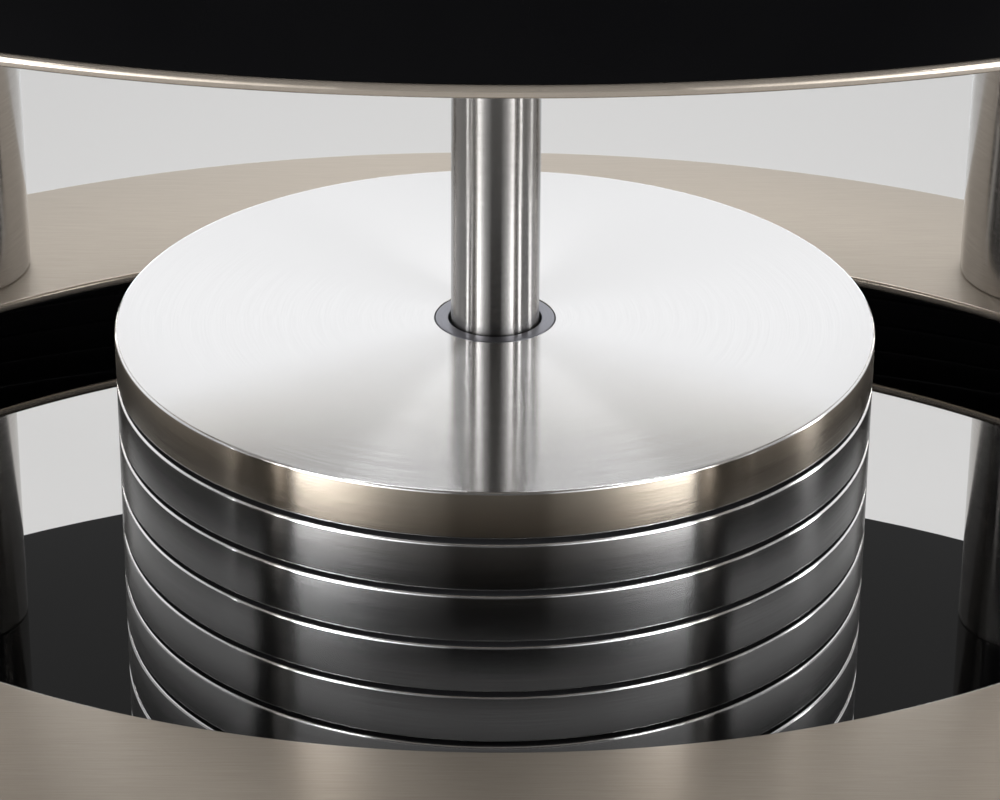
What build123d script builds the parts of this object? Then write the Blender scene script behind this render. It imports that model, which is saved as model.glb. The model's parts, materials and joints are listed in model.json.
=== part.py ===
from build123d import *
import math
import os

# A tower turntable. Four rows of columns carry bowed sandwich platforms. A chassis floats in a gimbal
# on the top deck, carries the platter, arm and motor, and is steadied by a rod of heavy steel discs
# that hangs through the open platforms. Millimetres, +Z up, front is -Y, origin on the floor under
# the tower's axis.

# Platform plan: four bowed sides round the four columns
column_x = 236.0
column_y = 179.2
side_arc_r = 440.5
corner_r = 48.3
front_band_w = 101.3
side_band_w = 87.6
hole_corner_r = 40.0

# Platform layers: a metal plate under and over a black core
plate_t = 4.0
core_t = 43.0
base_core_t = 47.0
plate_edge_r = 1.9
core_inset = 1.0
core_edge_r = 0.5

# Columns and the rods that pull the tower together
lower_column_r = 31.0
column_r = 40.5
lower_column_h = 116.1
middle_column_h = 268.4
upper_column_h = 430.0
column_edge = 0.8
column_bore_r = 12.0
tie_rod_r = 8.0
tie_rod_clearance = 0.5
cap_r = 24.0
cap_h = 18.0
cap_edge = 2.0
cap_grip = 12.0

# Levelling feet
foot_h = 40.0
foot_r = 34.0
foot_disc_t = 18.0
foot_edge = 2.0
foot_pad_r = 30.0
foot_pad_t = 4.0
foot_pad_edge = 0.6
foot_stud_grip = 14.0
foot_nut_across = 26.0
foot_nut_t = 10.0
thread_clearance = 0.1

# Pendulum: rod, stacked discs, collar and end nut
stack_rise = 60.8
disc_count = 9
disc_r = 140.0
disc_t = 18.0
disc_gap = 2.0
disc_chamfer = 0.8
spacer_r = 60.0
rod_r = 16.3
rod_bore_clearance = 0.3
collar_r = 22.1
collar_t = 10.0
collar_edge = 0.5
collar_rod_gap = 0.9
collar_seat_gap = 0.35
end_nut_r = 48.0
end_nut_h = 30.0
end_nut_edge = 4.0
rod_flange_r = 44.0
rod_flange_t = 10.0
rod_seat_depth = 24.0
seat_clearance = 0.05

# Gimbal
pivot_rise = 32.0
gimbal_ring_w = 22.0
gimbal_ring_h = 24.0
gimbal_edge = 1.5
pin_r = 6.0
pin_edge = 0.5
running_clearance = 0.05
block_inset = 4.0
block_ring_gap = 16.0
block_l = 40.0
block_w = 44.0
block_h = 52.0
block_edge = 3.0
block_pin_depth = 22.0
pin_end_gap = 2.0
chassis_pin_depth = 24.0

# Floating chassis
chassis_ring_gap = 10.0
chassis_drop = 18.0
chassis_core_t = 42.0
beam_w = 76.0
beam_t = 12.0
beam_edge = 1.5
beam_angle = 34.0

# Platter and its bearing
housing_r = 42.0
housing_h = 44.0
housing_flange_r = 56.0
housing_flange_t = 8.0
housing_floor_t = 6.0
housing_edge = 1.0
bush_r = 18.0
shaft_r = 10.0
shaft_flange_r = 30.0
shaft_flange_t = 2.0
shaft_flange_gap = 1.0
thrust_gap = 0.3
sub_platter_r = 146.0
sub_platter_t = 15.0
sub_platter_edge = 0.6
platter_r = 150.0
platter_t = 60.0
platter_edge = 1.5
spindle_r = 3.6
spindle_h = 14.0
spindle_edge = 1.0
label_r = 51.0
label_depth = 0.8
clamp_r = 38.0
clamp_h = 28.0
clamp_edge = 2.5
clamp_waist_r = 32.0
clamp_waist_h = 9.0
clamp_bore_depth = 18.0
clamp_seat_gap = 0.3

# Motor, pulley and belt
motor_reach = 195.0
motor_r = 32.0
motor_h = 42.0
motor_edge = 2.0
motor_shaft_r = 3.0
motor_shaft_depth = 24.0
pulley_r = 14.0
pulley_rim = 1.6
belt_t = 1.2
belt_w = 7.0
belt_gap = 0.3

# Arm
arm_reach = 222.0
arm_overhang = 17.0
arm_height = 18.0
arm_base_r = 30.0
arm_base_t = 8.0
arm_post_r = 14.0
arm_edge = 1.0
yoke_r = 18.0
yoke_up = 14.0
yoke_down = 20.0
yoke_slot_w = 22.0
yoke_slot_down = 12.0
yoke_gap = 0.4
yoke_stem_r = 6.0
yoke_stem_l = 24.0
arm_block_w = 20.0
arm_block_l = 24.0
arm_block_h = 14.0
arm_pin_r = 2.0
arm_tube_r = 5.0
arm_stub_r = 6.0
arm_stub_l = 74.0
weight_r = 17.0
weight_l = 24.0
weight_back = 38.0
shell_w = 18.0
shell_l = 46.0
shell_t = 3.0
shell_back_share = 0.65
cartridge_w = 16.0
cartridge_l = 24.0
cartridge_h = 9.0
stylus_r = 0.6
stylus_gap = 2.2
rest_reach = 52.0
rest_collar_t = 4.0
rest_bar_w = 8.0
rest_bar_h = 6.0
rest_bar_drop = 22.0
rest_ledge_w = 15.3
rest_ledge_l = 6.0
rest_gap = 0.3
rest_stop_t = 4.7

# Control panel in the deck's front band
panel_y = 270.0
panel_w = 160.0
panel_d = 44.0
panel_t = 8.0
panel_corner_r = 6.0
panel_edge = 0.8
display_w = 70.0
display_d = 20.0
display_depth = 1.0
pocket_margin = 8.0
pocket_depth = 16.0
button_x = 58.0
button_r = 8.0
button_proud = 2.0
button_edge = 0.8
button_gap = 0.3
button_flange = 1.4
button_stem_r = 3.0
button_travel = 1.5
board_margin = 3.0
board_t = 1.6
standoff_r = 3.0
standoff_h = 5.0
standoff_inset = 6.0
switch_w = 6.0
switch_h = 4.0

# Power inlet in the base's back edge
inlet_w = 40.0
inlet_h = 28.0
inlet_d = 28.0
inlet_recess = 2.0
inlet_gap = 0.2
inlet_socket_r = 8.0
inlet_socket_depth = 14.0
inlet_pin_r = 1.2
inlet_pin_l = 8.0
inlet_pin_x = 3.5

# Overrun of every cutting tool
overrun = 5.0

# Heights of the tower, from the floor up
platform_t = 2 * plate_t + core_t
base_z = foot_h
base_top = base_z + plate_t + base_core_t
ring_z = base_top + lower_column_h
ring_top = ring_z + platform_t
shelf_z = ring_top + middle_column_h
shelf_top = shelf_z + platform_t
deck_z = shelf_top + upper_column_h
deck_top = deck_z + platform_t
stack_top = ring_top + stack_rise
disc_pitch = disc_t + disc_gap
stack_bottom = stack_top - disc_count * disc_pitch + disc_gap
pivot_z = deck_top + pivot_rise
chassis_z = pivot_z - chassis_drop
chassis_top = chassis_z + chassis_core_t + plate_t
beam_top = chassis_top + beam_t
housing_top = beam_top + housing_h
sub_platter_z = housing_top + shaft_flange_gap + shaft_flange_t
platter_z = sub_platter_z + sub_platter_t
platter_top = platter_z + platter_t
arm_z = platter_top + arm_height

# Plan positions
front_centre = math.sqrt((side_arc_r - corner_r) ** 2 - column_x ** 2) - column_y
side_centre = math.sqrt((side_arc_r - corner_r) ** 2 - column_y ** 2) - column_x
rim_x = side_arc_r - side_centre
rim_y = side_arc_r - front_centre
block_x = rim_x - side_band_w + block_inset
gimbal_ring_r = block_x - block_ring_gap
chassis_r = gimbal_ring_r - gimbal_ring_w - chassis_ring_gap
columns = [(x, y) for x in (-column_x, column_x) for y in (-column_y, column_y)]
arm_x = arm_reach * math.cos(math.radians(beam_angle))
arm_y = arm_reach * math.sin(math.radians(beam_angle))
arm_l = arm_reach + arm_overhang


def turned(points):
    """Solid turned about Z from points of radius and height."""
    outline = Polyline(*[(radius, 0, height) for radius, height in points], close=True)
    return revolve(make_face(outline), Axis.Z)


def turned_ring(bore, radius, low, high, edge):
    """Disc with a bore and chamfered rims, turned about Z between two heights."""
    return turned([(bore, low), (radius - edge, low), (radius, low + edge),
                   (radius, high - edge), (radius - edge, high), (bore, high)])


def rod(radius, low, high):
    """Plain round rod on Z between two heights."""
    return Pos(0, 0, low) * extrude(Circle(radius), high - low)


def lying_rod(radius, near, far):
    """Plain round rod on the Y axis between two distances."""
    return Rot(-90, 0, 0) * rod(radius, near, far)


def block(width, depth, low, high):
    """Upright block centred on Z between two heights."""
    return Pos(0, 0, low) * extrude(Rectangle(width, depth), high - low)


def at_columns(shape):
    """Copies of a shape on the four column axes."""
    return [Pos(x, y, 0) * shape for x, y in columns]


def group(shapes):
    """Separate solids that share one node."""
    return Compound(children=list(shapes))


def bowed_plan(front_inset, side_inset, corner):
    """Plan with four bowed sides, drawn in from the platform's rim."""
    front_arc = Circle(side_arc_r - front_inset)
    side_arc = Circle(side_arc_r - side_inset)
    plan = Pos(0, front_centre) * front_arc & Pos(0, -front_centre) * front_arc
    plan = plan & Pos(side_centre, 0) * side_arc & Pos(-side_centre, 0) * side_arc
    return fillet(plan.vertices(), corner)


def platform_layer(low, high, inset, edge_r, is_open):
    """One layer of a platform, with its rims rounded and a hole for each tie rod."""
    plan = bowed_plan(inset, inset, corner_r - inset)
    if is_open:
        plan -= bowed_plan(front_band_w - inset, side_band_w - inset, hole_corner_r + inset)
    layer = extrude(plan, high - low)
    layer = fillet(layer.edges().filter_by(Plane.XY), edge_r)
    for hole in at_columns(rod(tie_rod_r + tie_rod_clearance, -overrun, high - low + overrun)):
        layer -= hole
    return Pos(0, 0, low) * layer


def platform(name, low):
    """The three layers of an open platform."""
    core_low = low + plate_t
    core_high = core_low + core_t
    return {
        f"{name}_bottom_plate": platform_layer(low, core_low, 0, plate_edge_r, True),
        f"{name}_core": platform_layer(core_low, core_high, core_inset, core_edge_r, True),
        f"{name}_top_plate": platform_layer(core_high, core_high + plate_t, 0, plate_edge_r, True),
    }


def column(radius, low, height):
    """Hollow column between two platforms."""
    return turned_ring(column_bore_r, radius, low, low + height, column_edge)


def tie_rod():
    """Rod from the foot's stud up into the cap on the deck."""
    return rod(tie_rod_r, base_z + foot_stud_grip, deck_top + cap_grip)


def column_cap():
    """Round nut that closes a tie rod on the deck."""
    bore = rod(tie_rod_r + thread_clearance, deck_top - overrun, deck_top + cap_grip + thread_clearance)
    return turned_ring(0, cap_r, deck_top, deck_top + cap_h, cap_edge) - bore


def levelling_foot():
    """Foot disc with its threaded stud."""
    disc = turned_ring(0, foot_r, foot_pad_t, foot_pad_t + foot_disc_t, foot_edge)
    return disc + rod(tie_rod_r, foot_pad_t + foot_disc_t, base_z + foot_stud_grip)


def foot_pad():
    """Soft pad under a foot."""
    return turned_ring(0, foot_pad_r, 0, foot_pad_t, foot_pad_edge)


def foot_nut():
    """Hexagon lock nut against the base."""
    blank = extrude(RegularPolygon(foot_nut_across / 2, 6, major_radius=False), foot_nut_t)
    return Pos(0, 0, base_z - foot_nut_t) * blank - rod(tie_rod_r + thread_clearance, 0, base_z + overrun)


def inlet_face_y():
    """Distance of the power inlet's face behind the axis."""
    return rim_y - inlet_recess


def inlet_place():
    """Frame at the centre of the power inlet's face, looking out of the back."""
    return Pos(0, inlet_face_y(), base_z + plate_t + base_core_t / 2)


def base_core():
    """Black core of the closed base, with the pocket of the power inlet."""
    core = platform_layer(base_z + plate_t, base_top, core_inset, core_edge_r, False)
    pocket = Box(inlet_w + 2 * inlet_gap, inlet_d + inlet_gap + overrun, inlet_h + 2 * inlet_gap)
    return core - inlet_place() * Pos(0, (overrun - inlet_d - inlet_gap) / 2, 0) * pocket


def power_inlet():
    """Low-voltage socket with its contact pins."""
    body = Pos(0, -inlet_d / 2, 0) * Box(inlet_w, inlet_d, inlet_h)
    body -= lying_rod(inlet_socket_r, -inlet_socket_depth, overrun)
    for x in (-inlet_pin_x, inlet_pin_x):
        body += Pos(x, 0, 0) * lying_rod(inlet_pin_r, -inlet_socket_depth, inlet_pin_l - inlet_socket_depth)
    return inlet_place() * body


def weight_disc(index):
    """One steel disc of the pendulum; the top one is counterbored for the collar."""
    high = stack_top - index * disc_pitch
    disc = turned_ring(rod_r + rod_bore_clearance, disc_r, high - disc_t, high, disc_chamfer)
    if index == 0:
        disc -= rod(collar_r + collar_seat_gap, high - collar_t, high + overrun)
    return disc


def disc_spacers():
    """Washers that hold the discs apart."""
    washer = turned_ring(rod_r + rod_bore_clearance, spacer_r, 0, disc_gap, disc_gap / 4)
    lows = [stack_top - index * disc_pitch - disc_pitch for index in range(disc_count - 1)]
    return group(Pos(0, 0, low) * washer for low in lows)


def rod_collar():
    """Collar that centres the rod, flush with the top disc."""
    bore = rod_r + collar_rod_gap
    low = stack_top - collar_t
    return turned([(bore, low), (collar_r, low), (collar_r, stack_top - collar_edge),
                   (collar_r - collar_edge, stack_top), (bore + collar_edge, stack_top),
                   (bore, stack_top - collar_edge)])


def end_nut():
    """Nut under the stack."""
    return turned_ring(rod_r + seat_clearance, end_nut_r, stack_bottom - end_nut_h, stack_bottom,
                       end_nut_edge)


def pendulum_rod():
    """Rod with the flange that bolts it under the chassis."""
    shank = rod(rod_r, stack_bottom - end_nut_h, chassis_z + rod_seat_depth)
    return shank + turned_ring(0, rod_flange_r, chassis_z - rod_flange_t, chassis_z, gimbal_edge)


def gimbal_pins():
    """Two pins out of the gimbal ring into the blocks, and two into the chassis."""
    outer = lying_rod(pin_r, gimbal_ring_r - gimbal_ring_w + pin_edge, block_x + block_pin_depth)
    inner = lying_rod(pin_r, chassis_r - chassis_pin_depth, gimbal_ring_r - pin_edge)
    place = Pos(0, 0, pivot_z)
    sides = [place * Rot(0, 0, angle) * outer for angle in (-90, 90)]
    return group(sides + [place * Rot(0, 0, angle) * inner for angle in (0, 180)])


def gimbal_ring():
    """Ring of the gimbal, bored for its four pins."""
    half = gimbal_ring_h / 2
    inner_r = gimbal_ring_r - gimbal_ring_w
    ring = turned([(inner_r, -half + gimbal_edge), (inner_r + gimbal_edge, -half),
                   (gimbal_ring_r - gimbal_edge, -half), (gimbal_ring_r, -half + gimbal_edge),
                   (gimbal_ring_r, half - gimbal_edge), (gimbal_ring_r - gimbal_edge, half),
                   (inner_r + gimbal_edge, half), (inner_r, half - gimbal_edge)])
    for angle in (-90, 0, 90, 180):
        ring -= Rot(0, 0, angle) * lying_rod(pin_r + seat_clearance, inner_r - overrun, gimbal_ring_r + overrun)
    return Pos(0, 0, pivot_z) * ring


def gimbal_block():
    """Right-hand bearing block on the deck, bored for the gimbal ring's pin."""
    blank = block(block_l, block_w, deck_top, deck_top + block_h)
    blank = chamfer(blank.edges().filter_by(Plane.XY).group_by(Axis.Z)[-1], block_edge)
    blank = Pos(block_x + block_l / 2, 0, 0) * blank
    bore = Rot(0, 0, -90) * lying_rod(pin_r + running_clearance, block_x - overrun,
                                      block_x + block_pin_depth + pin_end_gap)
    return blank - Pos(0, 0, pivot_z) * bore


def chassis_core():
    """Black core of the floating chassis, with the rod's seat and the pins' bores."""
    core = turned_ring(0, chassis_r, chassis_z, chassis_z + chassis_core_t, core_edge_r)
    core -= rod(rod_r + seat_clearance, chassis_z - overrun, chassis_z + rod_seat_depth)
    for angle in (0, 180):
        bore = lying_rod(pin_r + running_clearance, chassis_r - chassis_pin_depth - pin_end_gap,
                         chassis_r + overrun)
        core -= Pos(0, 0, pivot_z) * Rot(0, 0, angle) * bore
    return core


def chassis_plate():
    """Metal plate on the floating chassis."""
    return turned_ring(0, chassis_r, chassis_top - plate_t, chassis_top, plate_edge_r)


def cross_beam():
    """Beam over the chassis that carries the bearing, the arm at one end and the motor at the other."""
    end_r = beam_w / 2
    plan = Pos((arm_reach - motor_reach) / 2, 0) * Rectangle(arm_reach + motor_reach, beam_w)
    plan = plan + Pos(arm_reach, 0) * Circle(end_r) + Pos(-motor_reach, 0) * Circle(end_r)
    plan += Circle(housing_flange_r + beam_t)
    beam = extrude(plan, beam_t)
    beam = chamfer(beam.edges().group_by(Axis.Z)[-1], beam_edge)
    return Pos(0, 0, chassis_top) * Rot(0, 0, beam_angle) * beam


def bearing_housing():
    """Steel housing of the platter bearing, with its flange."""
    bore = bush_r + seat_clearance
    floor_z = beam_top + housing_floor_t
    flange_z = beam_top + housing_flange_t
    return turned([(0, beam_top), (housing_flange_r, beam_top),
                   (housing_flange_r, flange_z - housing_edge), (housing_flange_r - housing_edge, flange_z),
                   (housing_r, flange_z), (housing_r, housing_top - housing_edge),
                   (housing_r - housing_edge, housing_top), (bore, housing_top), (bore, floor_z),
                   (0, floor_z)])


def bearing_bush():
    """Bronze bush in the housing."""
    low = beam_top + housing_floor_t
    return turned_ring(shaft_r + running_clearance, bush_r, low, housing_top, sub_platter_edge)


def bearing_shaft():
    """Platter shaft with its carrying flange and the record spindle."""
    low = beam_top + housing_floor_t + thrust_gap
    tip = platter_top + spindle_h
    return turned([(0, low), (shaft_r, low), (shaft_r, sub_platter_z - shaft_flange_t),
                   (shaft_flange_r, sub_platter_z - shaft_flange_t), (shaft_flange_r, sub_platter_z),
                   (shaft_r, sub_platter_z), (shaft_r, platter_z), (spindle_r, platter_z),
                   (spindle_r, tip - spindle_edge), (spindle_r - spindle_edge, tip), (0, tip)])


def sub_platter():
    """Steel sub-platter that the belt runs round."""
    return turned_ring(shaft_r + seat_clearance, sub_platter_r, sub_platter_z, platter_z, sub_platter_edge)


def platter():
    """Thick platter for the record, with a shallow recess under the record's label."""
    disc = turned_ring(spindle_r + seat_clearance, platter_r, platter_z, platter_top, platter_edge)
    return disc - rod(label_r, platter_top - label_depth, platter_top + overrun)


def record_clamp():
    """Weight that lies over the spindle on the label, with a finger waist."""
    low = platter_top - label_depth + clamp_seat_gap
    top = low + clamp_h
    waist_low = low + (clamp_h - clamp_waist_h) / 2
    slope = clamp_r - clamp_waist_r
    body = turned([(0, low), (clamp_r - clamp_edge, low), (clamp_r, low + clamp_edge),
                   (clamp_r, waist_low - slope / 2), (clamp_waist_r, waist_low),
                   (clamp_waist_r, waist_low + clamp_waist_h), (clamp_r, waist_low + clamp_waist_h + slope / 2),
                   (clamp_r, top - clamp_edge), (clamp_r - clamp_edge, top), (0, top)])
    return body - rod(spindle_r + running_clearance, low - overrun, low + clamp_bore_depth)


def at_motor(shape):
    """A shape moved from the tower's axis to the motor's."""
    return Rot(0, 0, beam_angle) * Pos(-motor_reach, 0, 0) * shape


def motor_housing():
    """Round motor case, bored for its shaft."""
    top = beam_top + motor_h
    case = turned_ring(0, motor_r, beam_top, top, motor_edge)
    bore = rod(motor_shaft_r + running_clearance, top - motor_shaft_depth - pin_end_gap, top + overrun)
    return at_motor(case - bore)


def motor_pulley():
    """Pulley with rims above and below the belt, on the motor's shaft."""
    rim_r = pulley_r + pulley_rim
    shaft_low = beam_top + motor_h - motor_shaft_depth
    return at_motor(turned([
        (0, shaft_low), (motor_shaft_r, shaft_low), (motor_shaft_r, sub_platter_z),
        (rim_r, sub_platter_z), (rim_r, sub_platter_z + pulley_rim), (pulley_r, sub_platter_z + 2 * pulley_rim),
        (pulley_r, platter_z - 2 * pulley_rim), (rim_r, platter_z - pulley_rim), (rim_r, platter_z),
        (0, platter_z)]))


def belt_loop(grow):
    """Plan round the sub-platter and the pulley, outside both by the given distance."""
    wheel_r = sub_platter_r + grow
    small_r = pulley_r + grow
    lean = math.acos((wheel_r - small_r) / motor_reach)
    corners = [(-radius * math.cos(lean) - reach, side * radius * math.sin(lean))
               for radius, reach, side in ((wheel_r, 0, 1), (small_r, motor_reach, 1),
                                           (small_r, motor_reach, -1), (wheel_r, 0, -1))]
    straight = make_face(Polyline(*corners, close=True))
    return Circle(wheel_r) + Pos(-motor_reach, 0) * Circle(small_r) + straight


def drive_belt():
    """Flat belt from the pulley round the sub-platter."""
    loop = belt_loop(belt_gap + belt_t) - belt_loop(belt_gap)
    middle = (sub_platter_z + platter_z) / 2
    return Pos(0, 0, middle - belt_w / 2) * Rot(0, 0, beam_angle) * extrude(loop, belt_w)


def arm_place():
    """Frame at the arm's pivot."""
    return Pos(arm_x, arm_y, arm_z)


def arm_pillar():
    """Post on the cross beam, bored for the fork's stem."""
    post_top = -yoke_down - yoke_gap
    foot_z = beam_top - arm_z
    post = turned([(0, foot_z), (arm_base_r, foot_z), (arm_base_r, foot_z + arm_base_t - arm_edge),
                   (arm_base_r - arm_edge, foot_z + arm_base_t), (arm_post_r, foot_z + arm_base_t),
                   (arm_post_r, post_top - arm_edge), (arm_post_r - arm_edge, post_top), (0, post_top)])
    post -= rod(yoke_stem_r + running_clearance, post_top - yoke_stem_l, post_top + overrun)
    return arm_place() * post


def rest_side():
    """Distance from the arm tube's axis to the ledge under it and to the stop beside it."""
    return arm_tube_r + rest_gap


def arm_rest():
    """Collar on the post with a bar out to the ledge that the lowered arm lies over."""
    top = -rest_bar_drop
    rest = rod(arm_post_r + rest_collar_t, top - rest_bar_h, top)
    rest += Pos(0, -rest_reach / 2, 0) * block(rest_bar_w, rest_reach, top - rest_bar_h, top)
    ledge = block(rest_ledge_w, rest_ledge_l, top - rest_bar_h, -rest_side())
    rest += Pos(rest_side() - rest_ledge_w / 2, -rest_reach, 0) * ledge
    rest -= rod(arm_post_r + seat_clearance, top - rest_bar_h - overrun, top + overrun)
    return arm_place() * rest


def arm_rest_stop():
    """Stop on the side of the ledge, where the arm's outward swing ends."""
    stop = block(rest_stop_t, rest_ledge_l, -rest_bar_drop - rest_bar_h, 0)
    return arm_place() * Pos(rest_side() + rest_stop_t / 2, -rest_reach, 0) * stop


def arm_yoke():
    """Swinging fork on its stem, with cheeks for the arm's cross pin."""
    fork = turned_ring(0, yoke_r, -yoke_down, yoke_up, arm_edge)
    fork -= block(yoke_slot_w, 2 * yoke_r + overrun, -yoke_slot_down, yoke_up + overrun)
    fork += rod(yoke_stem_r, -yoke_down - yoke_stem_l + yoke_gap, -yoke_down)
    fork -= Rot(0, 0, 90) * lying_rod(arm_pin_r + running_clearance, -yoke_r - overrun, yoke_r + overrun)
    return arm_place() * fork


def shell_back():
    """Distance from the pivot to the back edge of the headshell."""
    return arm_l - shell_l * shell_back_share


def arm_tube():
    """Arm tube with its pivot block, cross pin and counterweight stub."""
    tube = lying_rod(arm_tube_r, -shell_back(), 0) + lying_rod(arm_stub_r, 0, arm_stub_l)
    tube += block(arm_block_w, arm_block_l, -arm_block_h / 2, arm_block_h / 2)
    tube += Rot(0, 0, 90) * lying_rod(arm_pin_r, -yoke_r, yoke_r)
    return arm_place() * tube


def headshell():
    """Headshell at the end of the tube."""
    shell = block(shell_w, shell_l, -shell_t / 2, shell_t / 2)
    return arm_place() * Pos(0, -shell_back() - shell_l / 2, 0) * shell


def cartridge():
    """Cartridge under the headshell, with its stylus."""
    under = -shell_t / 2
    body = block(cartridge_w, cartridge_l, under - cartridge_h, under)
    body += rod(stylus_r, stylus_gap - arm_height, under - cartridge_h)
    return arm_place() * Pos(0, -arm_l, 0) * body


def counterweight():
    """Weight on the arm's stub."""
    weight = turned_ring(arm_stub_r + running_clearance, weight_r, weight_back, weight_back + weight_l, arm_edge)
    return arm_place() * Rot(-90, 0, 0) * weight


def panel_place():
    """Frame on the deck at the middle of the control panel."""
    return Pos(0, -panel_y, deck_top)


def panel_pocket():
    """Space under the panel through the top plate into the core."""
    return block(panel_w - 2 * pocket_margin, panel_d - 2 * pocket_margin, -plate_t - pocket_depth, overrun)


def control_panel():
    """Panel plate with the display's recess and a hole for each button."""
    plan = fillet(Rectangle(panel_w, panel_d).vertices(), panel_corner_r)
    plate = extrude(plan, panel_t)
    plate = chamfer(plate.edges().group_by(Axis.Z)[-1], panel_edge)
    plate -= block(display_w, display_d, panel_t - display_depth, panel_t + overrun)
    for x in (-button_x, button_x):
        plate -= Pos(x, 0, 0) * rod(button_r + button_gap, -overrun, panel_t + overrun)
    return panel_place() * plate


def switch_top():
    """Height of the switches on the board, below the deck's face."""
    return -plate_t - pocket_depth + standoff_h + board_t + switch_h


def push_button(x):
    """Push button kept in by a flange under the panel, its stem above the switch."""
    low = -button_gap - button_flange
    stem_low = switch_top() + button_travel + button_gap
    button = turned([
        (0, stem_low), (button_stem_r, stem_low), (button_stem_r, low), (button_r + button_flange, low),
        (button_r + button_flange, -button_gap), (button_r, -button_gap),
        (button_r, panel_t + button_proud - button_edge), (button_r - button_edge, panel_t + button_proud),
        (0, panel_t + button_proud)])
    return panel_place() * Pos(x, 0, 0) * button


def control_board():
    """Circuit board on its standoffs, with a switch under each button."""
    width = panel_w - 2 * pocket_margin - 2 * board_margin
    depth = panel_d - 2 * pocket_margin - 2 * board_margin
    floor_z = -plate_t - pocket_depth
    board_z = floor_z + standoff_h
    board = block(width, depth, board_z, board_z + board_t)
    for x in (standoff_inset - width / 2, width / 2 - standoff_inset):
        for y in (standoff_inset - depth / 2, depth / 2 - standoff_inset):
            board += Pos(x, y, 0) * rod(standoff_r, floor_z, board_z)
    for x in (-button_x, button_x):
        board += Pos(x, 0, 0) * block(switch_w, switch_w, board_z + board_t, switch_top())
    return panel_place() * board


def tower_nodes():
    """Everything that stands still: feet, base, columns, platforms and their fasteners."""
    nodes = {
        "foot_pads": group(at_columns(foot_pad())),
        "levelling_feet": group(at_columns(levelling_foot())),
        "foot_lock_nuts": group(at_columns(foot_nut())),
        "base_bottom_plate": platform_layer(base_z, base_z + plate_t, 0, plate_edge_r, False),
        "base_core": base_core(),
        "power_inlet": power_inlet(),
        "lower_columns": group(at_columns(column(lower_column_r, base_top, lower_column_h))),
        "middle_columns": group(at_columns(column(column_r, ring_top, middle_column_h))),
        "upper_columns": group(at_columns(column(column_r, shelf_top, upper_column_h))),
        "tie_rods": group(at_columns(tie_rod())),
        "column_caps": group(at_columns(column_cap())),
    }
    for name, low in (("ring", ring_z), ("shelf", shelf_z), ("deck", deck_z)):
        nodes.update(platform(name, low))
    nodes["deck_top_plate"] -= panel_place() * panel_pocket()
    nodes["deck_core"] -= panel_place() * panel_pocket()
    return nodes


def control_nodes():
    """Panel, buttons and board."""
    return {
        "control_panel": control_panel(),
        "button_start": push_button(-button_x),
        "button_speed": push_button(button_x),
        "control_board": control_board(),
    }


def pendulum_nodes():
    """Gimbal, floating chassis and the pendulum under it."""
    nodes = {
        "gimbal_blocks": group([gimbal_block(), Rot(0, 0, 180) * gimbal_block()]),
        "gimbal_ring": gimbal_ring(),
        "gimbal_pins": gimbal_pins(),
        "chassis_core": chassis_core(),
        "chassis_plate": chassis_plate(),
        "cross_beam": cross_beam(),
        "pendulum_rod": pendulum_rod(),
        "rod_collar": rod_collar(),
        "disc_spacers": disc_spacers(),
        "pendulum_end_nut": end_nut(),
    }
    for index in range(disc_count):
        nodes[f"weight_disc_{index + 1}"] = weight_disc(index)
    return nodes


def drive_nodes():
    """Bearing, platter, clamp, motor, pulley and belt."""
    return {
        "bearing_housing": bearing_housing(),
        "bearing_bush": bearing_bush(),
        "bearing_shaft": bearing_shaft(),
        "sub_platter": sub_platter(),
        "platter": platter(),
        "record_clamp": record_clamp(),
        "motor_housing": motor_housing(),
        "motor_pulley": motor_pulley(),
        "drive_belt": drive_belt(),
    }


def arm_nodes():
    """Arm, from its pillar to the counterweight."""
    return {
        "arm_pillar": arm_pillar(),
        "arm_rest": arm_rest(),
        "arm_rest_stop": arm_rest_stop(),
        "arm_yoke": arm_yoke(),
        "arm_tube": arm_tube(),
        "arm_headshell": headshell(),
        "arm_cartridge": cartridge(),
        "arm_counterweight": counterweight(),
    }


os.makedirs("parts", exist_ok=True)
for section in (tower_nodes, control_nodes, pendulum_nodes, drive_nodes, arm_nodes):
    for node, shape in section().items():
        export_step(shape, f"parts/{node}.step")
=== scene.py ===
import json
import math

import bmesh
import bpy
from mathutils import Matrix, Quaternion, Vector

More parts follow.
